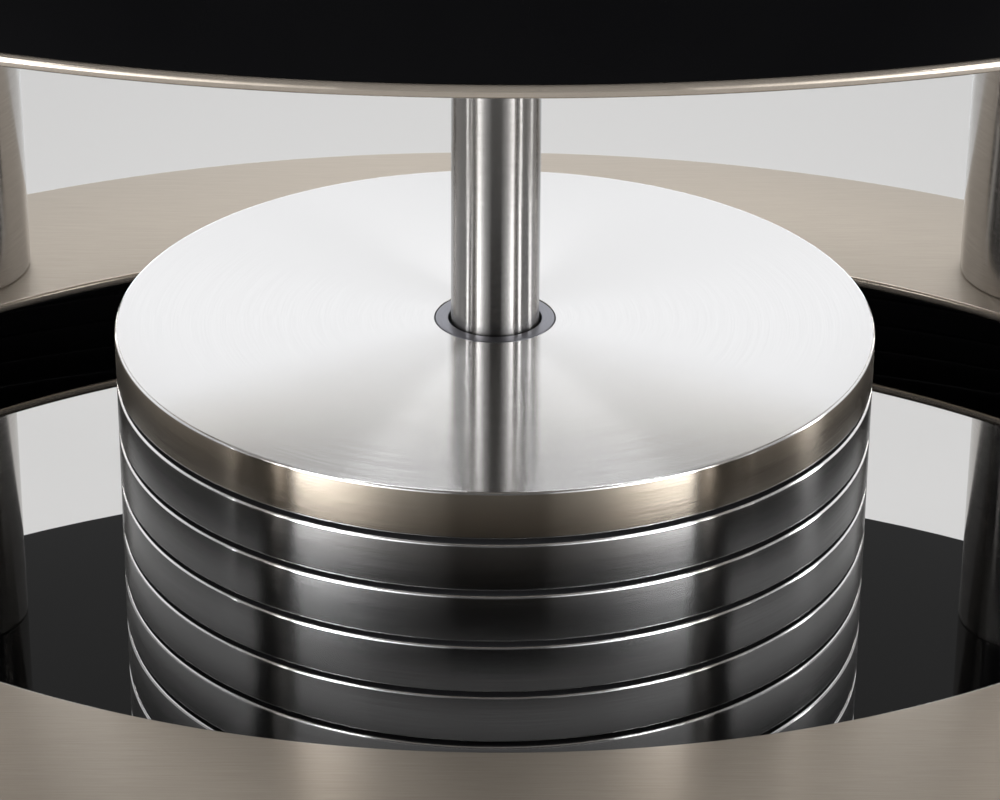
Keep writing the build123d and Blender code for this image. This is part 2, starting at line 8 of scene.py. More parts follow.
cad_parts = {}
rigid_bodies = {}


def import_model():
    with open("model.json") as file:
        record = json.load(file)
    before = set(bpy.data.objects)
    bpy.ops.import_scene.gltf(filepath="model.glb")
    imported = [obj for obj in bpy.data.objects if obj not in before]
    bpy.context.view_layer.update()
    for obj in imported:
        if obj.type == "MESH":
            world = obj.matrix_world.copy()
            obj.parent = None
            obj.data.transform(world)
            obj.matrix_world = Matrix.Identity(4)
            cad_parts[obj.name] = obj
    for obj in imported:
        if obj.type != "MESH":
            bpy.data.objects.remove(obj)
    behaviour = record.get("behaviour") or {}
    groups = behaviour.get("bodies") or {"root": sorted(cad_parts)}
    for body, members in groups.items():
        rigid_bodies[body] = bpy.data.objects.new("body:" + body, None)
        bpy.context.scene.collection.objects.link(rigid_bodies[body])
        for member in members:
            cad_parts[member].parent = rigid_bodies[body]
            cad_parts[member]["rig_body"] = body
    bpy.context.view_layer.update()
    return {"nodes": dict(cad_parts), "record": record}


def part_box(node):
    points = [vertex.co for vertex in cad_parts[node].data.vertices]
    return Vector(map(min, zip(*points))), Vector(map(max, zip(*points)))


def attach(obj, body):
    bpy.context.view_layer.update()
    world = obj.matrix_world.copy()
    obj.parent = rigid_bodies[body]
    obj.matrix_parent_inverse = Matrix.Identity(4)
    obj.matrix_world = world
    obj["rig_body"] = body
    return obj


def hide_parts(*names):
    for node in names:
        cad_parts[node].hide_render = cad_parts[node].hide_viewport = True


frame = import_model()

# Looks of the tower turntable. Metres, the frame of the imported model: +Z up, front -Y, origin on the
# floor under the tower's axis.

record_slots = {part["node"]: part["material_slot"] for part in frame["record"]["subparts"]}
mm = 0.001

# Plan of the bowed platforms
column_x = 236.0 * mm
column_y = 179.2 * mm
side_arc_r = 440.5 * mm
corner_r = 48.3 * mm
front_band_w = 101.3 * mm
side_band_w = 87.6 * mm
hole_corner_r = 40.0 * mm
core_inset = 1.0 * mm
front_centre = math.sqrt((side_arc_r - corner_r) ** 2 - column_x ** 2) - column_y
side_centre = math.sqrt((side_arc_r - corner_r) ** 2 - column_y ** 2) - column_x

# Edges
plate_edge_r = 1.9 * mm
core_edge_r = 0.5 * mm
disc_edge_r = 1.0 * mm
column_edge = 0.8 * mm
bore_edge = 0.4 * mm

# Steps of the round forms
circle_steps = 256
arc_steps = 48
corner_steps = 16
edge_steps = 6

# Pendulum
disc_count = 9
rod_r = 16.3 * mm
rod_edge = 0.6 * mm
rod_flange_t = 10.0 * mm
flange_edge = 1.5 * mm
collar_rod_gap = 0.9 * mm
collar_edge = 0.5 * mm
disc_bore_r = 16.6 * mm
collar_seat_r = 22.45 * mm
collar_t = 10.0 * mm
column_bore_r = 12.0 * mm

# Platter and clamp
platter_edge = 1.5 * mm
platter_bore_r = 3.65 * mm
label_r = 51.0 * mm
label_depth = 0.8 * mm
clamp_edge = 2.5 * mm
clamp_bore_r = 3.65 * mm
clamp_waist_r = 32.0 * mm
clamp_waist_h = 9.0 * mm
clamp_dish_r = 24.0 * mm
clamp_dish = 1.2 * mm
flute_count = 32
flute_depth = 0.9 * mm

# Display in the panel
display_w = 70.0 * mm
display_d = 20.0 * mm
display_depth = 1.0 * mm
display_gap = 0.2 * mm
display_t = 0.7 * mm
display_edge = 0.15 * mm
digit_w = 5.0 * mm
digit_h = 9.0 * mm
digit_pitch = 9.0 * mm
dot_gap = 3.0 * mm
bar_t = 0.9 * mm
bar_rise = 0.12 * mm

# Bars of a digit from end to end, in its widths and heights, and the digit that the dot stands before
across_top = ((0, 0.5), (1, 0.5))
across_middle = ((0, 0), (1, 0))
across_bottom = ((0, -0.5), (1, -0.5))
right_side = ((1, -0.5), (1, 0.5))
digit_bars = {"3": (across_top, across_middle, across_bottom, right_side)}
shown_digits = "333"
dot_place = 2

# Headshell and cartridge
shell_edge = 0.5 * mm
lift_w = 2.4 * mm
lift_t = 1.2 * mm
lift_reach = 11.0 * mm
screw_x = 4.5 * mm
screw_r = 2.2 * mm
screw_slot_r = 1.0 * mm
screw_h = 1.6 * mm
cartridge_h = 9.0 * mm
cartridge_edge = 1.2 * mm
stylus_r = 0.6 * mm

# Meshes: angle of a sharp edge, steps of a bevel, and how level a face must be to be painted black as shade
# between the discs
sharp_angle_deg = 25.0
bevel_steps = 3
gap_shade_level = 0.99

# Detail of the surfaces: scales in repeats to the metre, reliefs in metres
noise_low = 0.3
noise_high = 0.7
highlight_turn = 0.25
# Painted shade: range of flatness over which the darker side colour fades out onto the flat faces
side_shade_fade = (0.05, 0.4)
rise_to_face = (0.9, 1.0)
lines_round = 3
lines_strength = 0.1
turned_rough_less = 0.02
turned_rough_more = 0.03
grain_direction = (1, 0.03, 0.02)
grain_scale = (30, 1500, 1500)
fine_grain_scale = (90, 4200, 4200)
grain_metallic = 0.75
grain_strength = 0.2
grain_relief = 0.00003
grain_rough_change = 0.03
cloud_scale = 5
rim_rough_share = 0.5
gloss_color = (0.0012, 0.0012, 0.0014)
gloss_dark = (0.001, 0.001, 0.0012)
gloss_light = (0.0018, 0.0018, 0.002)
gloss_rough = 0.04
gloss_rough_range = (0.03, 0.08)
gloss_specular = 0.05
haze_scale = 9
dust_scale = 60
dust_strength = 0.01
matt_specular = 0.3
matt_rough_change = 0.08
matt_strength = 0.25
fine_relief = 0.0001
glow_scale = 900
glow_rough = 0.3
glow_low_share = 0.8
glow_color = (0.25, 0.75, 0.9)
glow_strength = 1.2


def new_material(name, color, metallic, roughness):
    """Material and its shader, ready for detail."""
    material = bpy.data.materials.new(name)
    material.use_nodes = True
    shader = material.node_tree.nodes["Principled BSDF"]
    shader.inputs["Base Color"].default_value = (*color, 1)
    shader.inputs["Metallic"].default_value = metallic
    shader.inputs["Roughness"].default_value = roughness
    return material, shader


def add(material, kind, **settings):
    """Node of a kind in a material, with its settings."""
    node = material.node_tree.nodes.new("ShaderNode" + kind)
    for key, value in settings.items():
        setattr(node, key, value)
    return node


def join(material, source, target):
    """Link from an output socket to an input socket."""
    material.node_tree.links.new(source, target)


def math_node(material, operation, first, second=0):
    """Math on a linked value and a second one, linked or a number."""
    node = add(material, "Math", operation=operation)
    join(material, first, node.inputs[0])
    if isinstance(second, bpy.types.NodeSocket):
        join(material, second, node.inputs[1])
    else:
        node.inputs[1].default_value = second
    return node.outputs[0]


def smooth_rise(material, value, start, end, low=0, high=1):
    """A value that rises smoothly from low to high while another goes from start to end."""
    node = add(material, "MapRange", interpolation_type="SMOOTHSTEP")
    join(material, value, node.inputs["Value"])
    node.inputs["From Min"].default_value = start
    node.inputs["From Max"].default_value = end
    node.inputs["To Min"].default_value = low
    node.inputs["To Max"].default_value = high
    return node.outputs["Result"]


def axis_values(material, vector):
    """The three values of a vector, by the names of their axes."""
    split = add(material, "SeparateXYZ")
    join(material, vector, split.inputs[0])
    return dict(zip("xyz", split.outputs))


def vector_of(material, values):
    """Vector from linked values, by the names of their axes."""
    node = add(material, "CombineXYZ")
    for name, value in values.items():
        join(material, value, node.inputs["xyz".index(name)])
    return node.outputs[0]


def object_point(material):
    """Object coordinates of the shaded point."""
    return add(material, "TexCoord").outputs["Object"]


def stretched(material, point, scale):
    """Coordinates stretched along the axes."""
    node = add(material, "Mapping")
    join(material, point, node.inputs["Vector"])
    node.inputs["Scale"].default_value = scale
    return node.outputs["Vector"]


def cross_axes(spin):
    """Names of the two axes across a turning axis."""
    return [name for name in "xyz" if name != spin["along"]]


def across_values(material, places, spin):
    """Distances from a turning axis along the two axes across it, those of mirrored axes folded into one."""
    across = []
    for name, middle in zip(cross_axes(spin), spin["middle"]):
        value = places[name]
        if spin["mirrored"]:
            value = math_node(material, "ABSOLUTE", value)
        across.append(math_node(material, "SUBTRACT", value, middle))
    return across


def turned_point(material, spin):
    """Coordinates for lines turned round an axis: radius, turn and place along it."""
    places = axis_values(material, object_point(material))
    across = across_values(material, places, spin)
    length = add(material, "VectorMath", operation="LENGTH")
    join(material, vector_of(material, {"x": across[0], "y": across[1]}), length.inputs[0])
    turn = math_node(material, "ARCTAN2", across[1], across[0])
    return vector_of(material, {"x": length.outputs["Value"], "y": turn, "z": places[spin["along"]]})


def world_direction(material):
    """Node that carries a direction from the object's axes to the world's."""
    return add(material, "VectorTransform", vector_type="VECTOR", convert_from="OBJECT", convert_to="WORLD")


def line_direction(material, spin):
    """Direction of the turned lines at the shaded point."""
    places = axis_values(material, object_point(material))
    across = across_values(material, places, spin)
    first, second = cross_axes(spin)
    if spin["mirrored"]:
        across = [math_node(material, "MULTIPLY", value, math_node(material, "SIGN", places[name]))
                  for name, value in zip((first, second), across)]
    back = math_node(material, "MULTIPLY", across[1], -1)
    world = world_direction(material)
    join(material, vector_of(material, {first: back, second: across[0]}), world.inputs[0])
    return world.outputs[0]


def noise(material, vector, scale, detail):
    """Noise value on given coordinates."""
    node = add(material, "TexNoise")
    join(material, vector, node.inputs["Vector"])
    node.inputs["Scale"].default_value = scale
    node.inputs["Detail"].default_value = detail
    return node.outputs["Fac"]


def ranged(material, value, low, high):
    """A noise value spread from low to high."""
    node = add(material, "MapRange")
    join(material, value, node.inputs["Value"])
    node.inputs["From Min"].default_value = noise_low
    node.inputs["From Max"].default_value = noise_high
    node.inputs["To Min"].default_value = low
    node.inputs["To Max"].default_value = high
    return node.outputs["Result"]


def tinted(material, shader, value, dark, light):
    """Base colour that runs between two tones by a value."""
    ramp = add(material, "ValToRGB")
    ramp.color_ramp.elements[0].position = noise_low
    ramp.color_ramp.elements[0].color = (*dark, 1)
    ramp.color_ramp.elements[1].position = noise_high
    ramp.color_ramp.elements[1].color = (*light, 1)
    join(material, value, ramp.inputs["Fac"])
    join(material, ramp.outputs["Color"], shader.inputs["Base Color"])


def bumped(material, shader, height, strength, distance):
    """Relief of the surface from a height value."""
    node = add(material, "Bump")
    node.inputs["Strength"].default_value = strength
    node.inputs["Distance"].default_value = distance
    join(material, height, node.inputs["Height"])
    join(material, node.outputs["Normal"], shader.inputs["Normal"])


def flatness(material, along):
    """How far a face looks along an axis, from 0 on a side to 1 on a flat face."""
    normal = add(material, "NewGeometry").outputs["Normal"]
    return math_node(material, "ABSOLUTE", axis_values(material, normal)[along])


def flat_share(material, value, flat, side_share, face_share):
    """A value times one share on sides and rims and another on flat faces."""
    share = smooth_rise(material, flat, *rise_to_face, side_share, face_share)
    return math_node(material, "MULTIPLY", value, share)


def side_tinted(material, shader, flat, color):
    """Painted shade: base colour multiplied by a darker colour on the sides and left as it is on the flat
    faces.
    """
    side_shade_mix = add(material, "Mix", data_type="RGBA")
    join(material, smooth_rise(material, flat, *side_shade_fade), side_shade_mix.inputs["Factor"])
    side_shade_mix.inputs["A"].default_value = (*color, 1)
    side_shade_mix.inputs["B"].default_value = (1, 1, 1, 1)
    tone = add(material, "VectorMath", operation="MULTIPLY")
    join(material, shader.inputs["Base Color"].links[0].from_socket, tone.inputs[0])
    join(material, side_shade_mix.outputs["Result"], tone.inputs[1])
    join(material, tone.outputs[0], shader.inputs["Base Color"])


def turned_metal(name, finish, spin):
    """Metal with fine lines turned round an axis, its sides darkened by painted shade where the finish says
    so.
    """
    roughness = finish["roughness"]
    material, shader = new_material(name, finish["light"], 1, roughness)
    shader.inputs["Anisotropic"].default_value = finish["spread"]
    shader.inputs["Anisotropic Rotation"].default_value = highlight_turn
    scale = finish["scale"]
    point = stretched(material, turned_point(material, spin), (scale, lines_round, scale))
    lines = noise(material, point, scale=1, detail=3)
    tinted(material, shader, lines, finish["dark"], finish["light"])
    # Painted shade: where the finish gives a side colour, the sides are made darker than the flat faces
    if "side" in finish:
        side_tinted(material, shader, flatness(material, spin["along"]), finish["side"])
    rough = ranged(material, lines, roughness - turned_rough_less, roughness + turned_rough_more)
    if "face" in finish:
        rough = flat_share(material, rough, flatness(material, spin["along"]), 1, finish["face"])
    join(material, rough, shader.inputs["Roughness"])
    bumped(material, shader, lines, lines_strength, finish["relief"])
    join(material, line_direction(material, spin), shader.inputs["Tangent"])
    return material


def grained_metal(name, dark, light, roughness, anisotropic):
    """Sheet metal with a fine straight grain along X and glossier rims."""
    material, shader = new_material(name, light, grain_metallic, roughness)
    shader.inputs["Anisotropic"].default_value = anisotropic
    shader.inputs["Anisotropic Rotation"].default_value = highlight_turn
    world = world_direction(material)
    world.inputs[0].default_value = grain_direction
    join(material, world.outputs[0], shader.inputs["Tangent"])
    point = object_point(material)
    grain = noise(material, stretched(material, point, grain_scale), scale=1, detail=4)
    fine = noise(material, stretched(material, point, fine_grain_scale), scale=1, detail=2)
    total = math_node(material, "ADD", grain, fine)
    mixed = math_node(material, "MULTIPLY", total, 0.5)
    tinted(material, shader, mixed, dark, light)
    cloud = noise(material, point, cloud_scale, detail=2)
    rough = ranged(material, cloud, roughness - grain_rough_change, roughness + grain_rough_change)
    rough = flat_share(material, rough, flatness(material, "z"), rim_rough_share, 1)
    join(material, rough, shader.inputs["Roughness"])
    bumped(material, shader, mixed, grain_strength, grain_relief)
    return material


def gloss_black(name):
    """Polished black acrylic with the faintest haze and dust."""
    material, shader = new_material(name, gloss_color, 0, gloss_rough)
    shader.inputs["Specular IOR Level"].default_value = gloss_specular
    point = object_point(material)
    haze = noise(material, point, haze_scale, detail=5)
    tinted(material, shader, haze, gloss_dark, gloss_light)
    join(material, ranged(material, haze, *gloss_rough_range), shader.inputs["Roughness"])
    bumped(material, shader, noise(material, point, dust_scale, detail=2), dust_strength, fine_relief)
    return material


def matt(name, dark, light, roughness, scale):
    """Matt moulded or rubber surface with a fine grain."""
    material, shader = new_material(name, light, 0, roughness)
    shader.inputs["Specular IOR Level"].default_value = matt_specular
    grain = noise(material, object_point(material), scale, detail=4)
    tinted(material, shader, grain, dark, light)
    rough = ranged(material, grain, roughness - matt_rough_change, roughness + matt_rough_change)
    join(material, rough, shader.inputs["Roughness"])
    bumped(material, shader, grain, matt_strength, fine_relief)
    return material


def lit_material(name, color, strength):
    """Softly lit segments behind dark glass."""
    material, shader = new_material(name, color, 0, glow_rough)
    shader.inputs["Emission Color"].default_value = (*color, 1)
    shader.inputs["Emission Strength"].default_value = strength
    glow = noise(material, object_point(material), glow_scale, detail=2)
    tinted(material, shader, glow, tuple(part * glow_low_share for part in color), color)
    return material


# Finishes of the turned metals: the lines' two tones, the highlight's spread, the colour of the painted
# shade on the sides and the share of the roughness on flat faces. Two nodes have finishes of their own.
turned_finishes = {
    # Its side colour is painted shade that darkens the sides against the flat faces
    "turned_steel": {
        "dark": (0.84, 0.84, 0.85), "light": (0.88, 0.88, 0.89), "roughness": 0.2, "spread": 1.0,
        "scale": 3200, "relief": 0.000002, "side": (0.19, 0.19, 0.19), "face": 0.8},
    "satin_steel": {
        "dark": (0.46, 0.44, 0.42), "light": (0.56, 0.54, 0.515), "roughness": 0.2, "spread": 0.85,
        "scale": 2400, "relief": 0.000006},
    "polished_steel": {
        "dark": (0.66, 0.65, 0.64), "light": (0.73, 0.72, 0.71), "roughness": 0.1, "spread": 0.7,
        "scale": 2600, "relief": 0.000004},
    "plain_steel": {
        "dark": (0.22, 0.22, 0.23), "light": (0.34, 0.34, 0.35), "roughness": 0.4, "spread": 0.3,
        "scale": 2600, "relief": 0.00001},
    "blued_steel": {
        "dark": (0.26, 0.265, 0.30), "light": (0.31, 0.315, 0.355), "roughness": 0.3, "spread": 0.5,
        "scale": 3600, "relief": 0.000004},
    "satin_aluminium": {
        "dark": (0.60, 0.60, 0.61), "light": (0.72, 0.72, 0.73), "roughness": 0.3, "spread": 0.4,
        "scale": 2600, "relief": 0.000006},
    "bronze": {
        "dark": (0.36, 0.21, 0.09), "light": (0.50, 0.31, 0.14), "roughness": 0.32, "spread": 0.3,
        "scale": 2600, "relief": 0.00001},
}
own_finishes = {
    # The rod's side colour is painted shade that darkens its sides against its flat faces
    "pendulum_rod": {
        **turned_finishes["polished_steel"], "roughness": 0.22, "spread": 1.0, "relief": 0.000003,
        "side": (0.44, 0.435, 0.43)},
    # Painted reflection and shade: the first disc's sides take a darker warm brown that stands in for the
    # mirrored champagne ring
    "weight_disc_1": {**turned_finishes["turned_steel"], "side": (0.39, 0.35, 0.295)},
}
lying_nodes = ("arm_tube", "arm_counterweight", "gimbal_pins")
column_nodes = ("lower_columns", "middle_columns", "upper_columns", "tie_rods", "column_caps",
                "levelling_feet", "foot_lock_nuts")


def spin_of(node):
    """Turning axis of a node: the middle of its box, or the four column axes mirrored into one."""
    low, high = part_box(node)
    middle = (low + high) / 2
    if node in column_nodes:
        return {"along": "z", "middle": (column_x, column_y), "mirrored": True}
    if node in lying_nodes:
        return {"along": "y", "middle": (middle.x, middle.z), "mirrored": False}
    return {"along": "z", "middle": (middle.x, middle.y), "mirrored": False}


def make_materials():
    """One material for each slot of the record that isn't turned."""
    return {
        "champagne_metal": grained_metal("champagne_metal", dark=(0.345, 0.302, 0.254),
                                         light=(0.42, 0.373, 0.318), roughness=0.32, anisotropic=0.85),
        "black_gloss": gloss_black("black_gloss"),
        "black_matte": matt("black_matte", dark=(0.010, 0.010, 0.011), light=(0.022, 0.022, 0.024),
                            roughness=0.5, scale=1800),
        "circuit_board": matt("circuit_board", dark=(0.01, 0.07, 0.03), light=(0.02, 0.11, 0.05),
                              roughness=0.45, scale=900),
        "foot_rubber": matt("foot_rubber", dark=(0.012, 0.012, 0.012), light=(0.025, 0.025, 0.025),
                            roughness=0.75, scale=1400),
        "belt_rubber": matt("belt_rubber", dark=(0.012, 0.012, 0.012), light=(0.022, 0.022, 0.022),
                            roughness=0.6, scale=1600),
    }


materials = make_materials()


def material_of(node):
    """Material of a node: shared for a sheet or moulded one, by axis or of its own for a turned one."""
    slot = record_slots[node]
    if slot not in turned_finishes:
        return materials[slot]
    spin = spin_of(node)
    finish = own_finishes.get(node, turned_finishes[slot])
    place = node if node in own_finishes else "_".join(str(round(value / mm)) for value in spin["middle"])
    name = f"{slot}_{spin['along']}_{place}{'_four' if spin['mirrored'] else ''}".replace("-", "m")
    if name not in materials:
        materials[name] = turned_metal(name, finish, spin)
    return materials[name]


def dress(shape, node):
    """Gives a shape the material of a node."""
    shape.data.materials.clear()
    shape.data.materials.append(material_of(node))


for node, shape in frame["nodes"].items():
    dress(shape, node)


def finished(name, points, faces):
    """Object from points and faces, smooth except at its edges."""
    mesh = bpy.data.meshes.new(name)
    mesh.from_pydata(points, [], faces)
    mesh.update()
    mesh.shade_smooth()
    mesh.set_sharp_from_angle(angle=math.radians(sharp_angle_deg))
    shape = bpy.data.objects.new(name, mesh)
    bpy.context.scene.collection.objects.link(shape)
    return shape


def loft(name, loops, closed):
    """Mesh through loops of equal length, closed in a ring or capped at both ends."""
    count = len(loops[0])
    points = [point for loop in loops for point in loop]
    faces = []
    spans = len(loops) if closed else len(loops) - 1
    for span in range(spans):
        near = span * count
        far = ((span + 1) % len(loops)) * count
        for index in range(count):
            after = (index + 1) % count
            faces.append((near + index, near + after, far + after, far + index))
    if not closed:
        faces.append(tuple(reversed(range(count))))
        faces.append(tuple(range((len(loops) - 1) * count, len(loops) * count)))
    return finished(name, points, faces)


def stands_for(shape, node):
    """Puts a detailed piece in the place of a node."""
    body = frame["nodes"][node]["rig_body"]
    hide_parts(node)
    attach(shape, body)
    dress(shape, node)


def circle(radius, height, centre=(0, 0)):
    """Points of a level circle."""
    turn = 2 * math.pi / circle_steps
    return [(centre[0] + radius * math.cos(step * turn), centre[1] + radius * math.sin(step * turn), height)
            for step in range(circle_steps)]


def turned(name, profile, closed, centre=(0, 0)):
    """Shape turned round a vertical axis from points of radius and height."""
    return loft(name, [circle(radius, height, centre) for radius, height in profile], closed)


def round_edge(corner, start, end, radius):
    """Points of a rounded corner in a profile, from one direction to the other in degrees."""
    angles = [math.radians(start + (end - start) * step / edge_steps) for step in range(edge_steps + 1)]
    return [(corner[0] + radius * math.cos(angle), corner[1] + radius * math.sin(angle)) for angle in angles]


def meet(first, first_r, second, second_r):
    """The crossing of two circles that lies in the right-hand back quarter."""
    gap = second - first
    span = gap.length
    along = (first_r ** 2 - second_r ** 2 + span ** 2) / (2 * span)
    across = math.sqrt(first_r ** 2 - along ** 2)
    middle = first + gap * (along / span)
    side = Vector((-gap.y, gap.x)) * (across / span)
    return max((middle + side, middle - side), key=lambda point: min(point.x, point.y))


def bowed_outline(front_inset, side_inset, corner, height):
    """Loop with four bowed sides, in from the platform's rim."""
    back_middle = Vector((0, -front_centre))
    side_middle = Vector((-side_centre, 0))
    back_r = side_arc_r - front_inset
    side_r = side_arc_r - side_inset
    centre = meet(back_middle, back_r - corner, side_middle, side_r - corner)
    side_angle = math.atan2(*(centre - side_middle).yx)
    back_angle = math.atan2(*(centre - back_middle).yx)
    quarter = []
    for step in range(arc_steps):
        angle = side_angle * step / arc_steps
        quarter.append(side_middle + side_r * Vector((math.cos(angle), math.sin(angle))))
    for step in range(corner_steps):
        angle = side_angle + (back_angle - side_angle) * step / corner_steps
        quarter.append(centre + corner * Vector((math.cos(angle), math.sin(angle))))
    for step in range(arc_steps):
        angle = back_angle + (math.pi / 2 - back_angle) * step / arc_steps
        quarter.append(back_middle + back_r * Vector((math.cos(angle), math.sin(angle))))
    top = back_middle + Vector((0, back_r))
    mirrored = [Vector((-point.x, point.y)) for point in reversed(quarter[1:])]
    half = quarter + [top] + mirrored
    left = Vector((-half[0].x, 0))
    lower = [Vector((point.x, -point.y)) for point in reversed(half[1:])]
    return [(point.x, point.y, height) for point in half + [left] + lower]


def rim_profile(low, high, radius):
    """Insets and heights of a rounded rim, from the under face to the upper face."""
    under = round_edge((radius, low + radius), 270, 180, radius)
    over = round_edge((radius, high - radius), 180, 90, radius)
    return under + over


def platform_layer(node, inset, radius, is_open):
    """Detailed layer of a platform in place of its node."""
    low, high = (corner.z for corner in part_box(node))
    rim = [(inset + draw_in, height) for draw_in, height in rim_profile(low, high, radius)]
    loops = [bowed_outline(draw_in, draw_in, corner_r - draw_in, height) for draw_in, height in rim]
    if is_open:
        loops += [
            bowed_outline(front_band_w - draw_in, side_band_w - draw_in, hole_corner_r + draw_in, height)
            for draw_in, height in reversed(rim)]
    stands_for(loft(node + "_form", loops, is_open), node)


def make_platforms():
    """Layers of the three open platforms up to the deck's bottom plate, and the base's plate."""
    for name in ("ring", "shelf", "deck"):
        for layer in ("bottom_plate", "top_plate"):
            if (name, layer) != ("deck", "top_plate"):
                platform_layer(f"{name}_{layer}", 0, plate_edge_r, True)
        if name != "deck":
            platform_layer(f"{name}_core", core_inset, core_edge_r, True)
    platform_layer("base_bottom_plate", 0, plate_edge_r, False)


def bored_profile(bore, radius, low, high, edge):
    """Closed profile of a disc or column with rounded rims and a broken bore."""
    under = round_edge((radius - edge, low + edge), -90, 0, edge)
    over = round_edge((radius - edge, high - edge), 0, 90, edge)
    return under + over + [(bore + bore_edge, high), (bore, high - bore_edge), (bore, low + bore_edge),
                           (bore + bore_edge, low)]


def make_discs():
    """Discs of the pendulum. Under the first one the flat faces inside the stack are painted black as shade
    for the gaps between the discs.
    """
    for index in range(disc_count):
        node = f"weight_disc_{index + 1}"
        low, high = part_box(node)
        profile = bored_profile(disc_bore_r, high.x, low.z, high.z, disc_edge_r)
        if index == 0:
            seat_z = high.z - collar_t
            seat = [(collar_seat_r + bore_edge / 2, high.z), (collar_seat_r, high.z - bore_edge / 2),
                    (collar_seat_r, seat_z), (disc_bore_r, seat_z)]
            profile[-4:-2] = seat
        disc = turned(node + "_form", profile, True)
        stands_for(disc, node)
        # Painted shade: the level faces of the lower discs take the black matte material so the gaps in the
        # stack render black
        if index > 0:
            disc.data.materials.append(materials["black_matte"])
            for face in disc.data.polygons:
                if abs(face.normal.z) > gap_shade_level:
                    face.material_index = 1


def joined(name, shapes):
    """One mesh out of several."""
    points = []
    faces = []
    for shape in shapes:
        first = len(points)
        points += [tuple(vertex.co) for vertex in shape.data.vertices]
        faces += [tuple(first + index for index in face.vertices) for face in shape.data.polygons]
        bpy.data.meshes.remove(shape.data)
    return finished(name, points, faces)


def make_columns():
    """Columns with broken edges, four to a row."""
    corners = [(x, y) for x in (-column_x, column_x) for y in (-column_y, column_y)]
    for node in ("lower_columns", "middle_columns", "upper_columns"):
        low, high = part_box(node)
        radius = high.x - column_x
        profile = bored_profile(column_bore_r, radius, low.z, high.z, column_edge)
        four = [turned(f"{node}_{index}", profile, True, corner) for index, corner in enumerate(corners)]
        stands_for(joined(node + "_form", four), node)


def make_rod():
    """Pendulum rod with its flange, and the collar round it."""
    low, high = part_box("pendulum_rod")
    flange_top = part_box("chassis_core")[0].z
    flange_low = flange_top - rod_flange_t
    shank = [(rod_r - rod_edge, low.z), (rod_r, low.z + rod_edge), (rod_r, flange_low),
             (high.x - flange_edge, flange_low), (high.x, flange_low + flange_edge),
             (high.x, flange_top - flange_edge), (high.x - flange_edge, flange_top), (rod_r, flange_top),
             (rod_r, high.z - rod_edge), (rod_r - rod_edge, high.z)]
    stands_for(turned("pendulum_rod_form", shank, False), "pendulum_rod")
    low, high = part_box("rod_collar")
    bore = rod_r + collar_rod_gap
    ring = round_edge((high.x - collar_edge, high.z - collar_edge), 0, 90, collar_edge)
    ring += round_edge((bore + collar_edge, high.z - collar_edge), 90, 180, collar_edge)
    ring += [(bore, low.z), (high.x, low.z)]
    stands_for(turned("rod_collar_form", ring, True), "rod_collar")


def flute_share(step):
    """Share of the waist's radius at a step round it, less in each flute."""
    turn = 2 * math.pi * step / circle_steps
    return 1 - flute_depth / clamp_waist_r * (0.5 - 0.5 * math.cos(flute_count * turn))


def make_platter():
    """Platter with its label recess, and the clamp with a fluted waist."""
    low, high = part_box("platter")
    label_z = high.z - label_depth
    rim = round_edge((high.x - platter_edge, low.z + platter_edge), -90, 0, platter_edge)
    rim += round_edge((high.x - platter_edge, high.z - platter_edge), 0, 90, platter_edge)
    rim += [(label_r + bore_edge, high.z), (label_r, high.z - bore_edge), (label_r, label_z),
            (platter_bore_r, label_z), (platter_bore_r, low.z)]
    stands_for(turned("platter_form", rim, True), "platter")
    low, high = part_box("record_clamp")
    tall = high.z - low.z
    waist_low = low.z + (tall - clamp_waist_h) / 2
    waist_high = waist_low + clamp_waist_h
    slope = (high.x - clamp_waist_r) / 2
    outline = round_edge((high.x - clamp_edge, low.z + clamp_edge), -90, 0, clamp_edge)
    outline += [(high.x, waist_low - slope)]
    waist = [(clamp_waist_r, waist_low), (clamp_waist_r, waist_high)]
    upper = [(high.x, waist_high + slope)]
    upper += round_edge((high.x - clamp_edge, high.z - clamp_edge), 0, 90, clamp_edge)
    profile = [(clamp_bore_r, low.z)] + outline + waist + upper
    profile += [(clamp_dish_r, high.z), (clamp_dish_r - clamp_dish, high.z - clamp_dish)]
    loops = []
    for radius, height in profile:
        ring = circle(radius, height)
        if (radius, height) in waist:
            ring = [(x * flute_share(step), y * flute_share(step), z) for step, (x, y, z) in enumerate(ring)]
        loops.append(ring)
    stands_for(loft("record_clamp_form", loops, False), "record_clamp")


def slab(name, low, high, edge):
    """Box with bevelled edges."""
    mesh = bmesh.new()
    bmesh.ops.create_cube(mesh, size=1)
    middle = (low + high) / 2
    for vertex in mesh.verts:
        vertex.co = vertex.co * (high - low) + middle
    bmesh.ops.bevel(mesh, geom=mesh.edges[:], offset=edge, segments=bevel_steps, affect="EDGES", profile=0.5)
    mesh.verts.index_update()
    points = [tuple(vertex.co) for vertex in mesh.verts]
    faces = [tuple(vertex.index for vertex in face.verts) for face in mesh.faces]
    mesh.free()
    return finished(name, points, faces)


def added(shape, body, material):
    """Puts an added piece on a body."""
    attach(shape, body)
    shape.data.materials.append(material)


def bar(name, low, high, face_z):
    """Lit bar of a digit, proud of the glass."""
    foot = Vector((0, 0, face_z))
    return slab(name, low + foot, high + foot + Vector((0, 0, bar_rise)), bar_rise / 3)


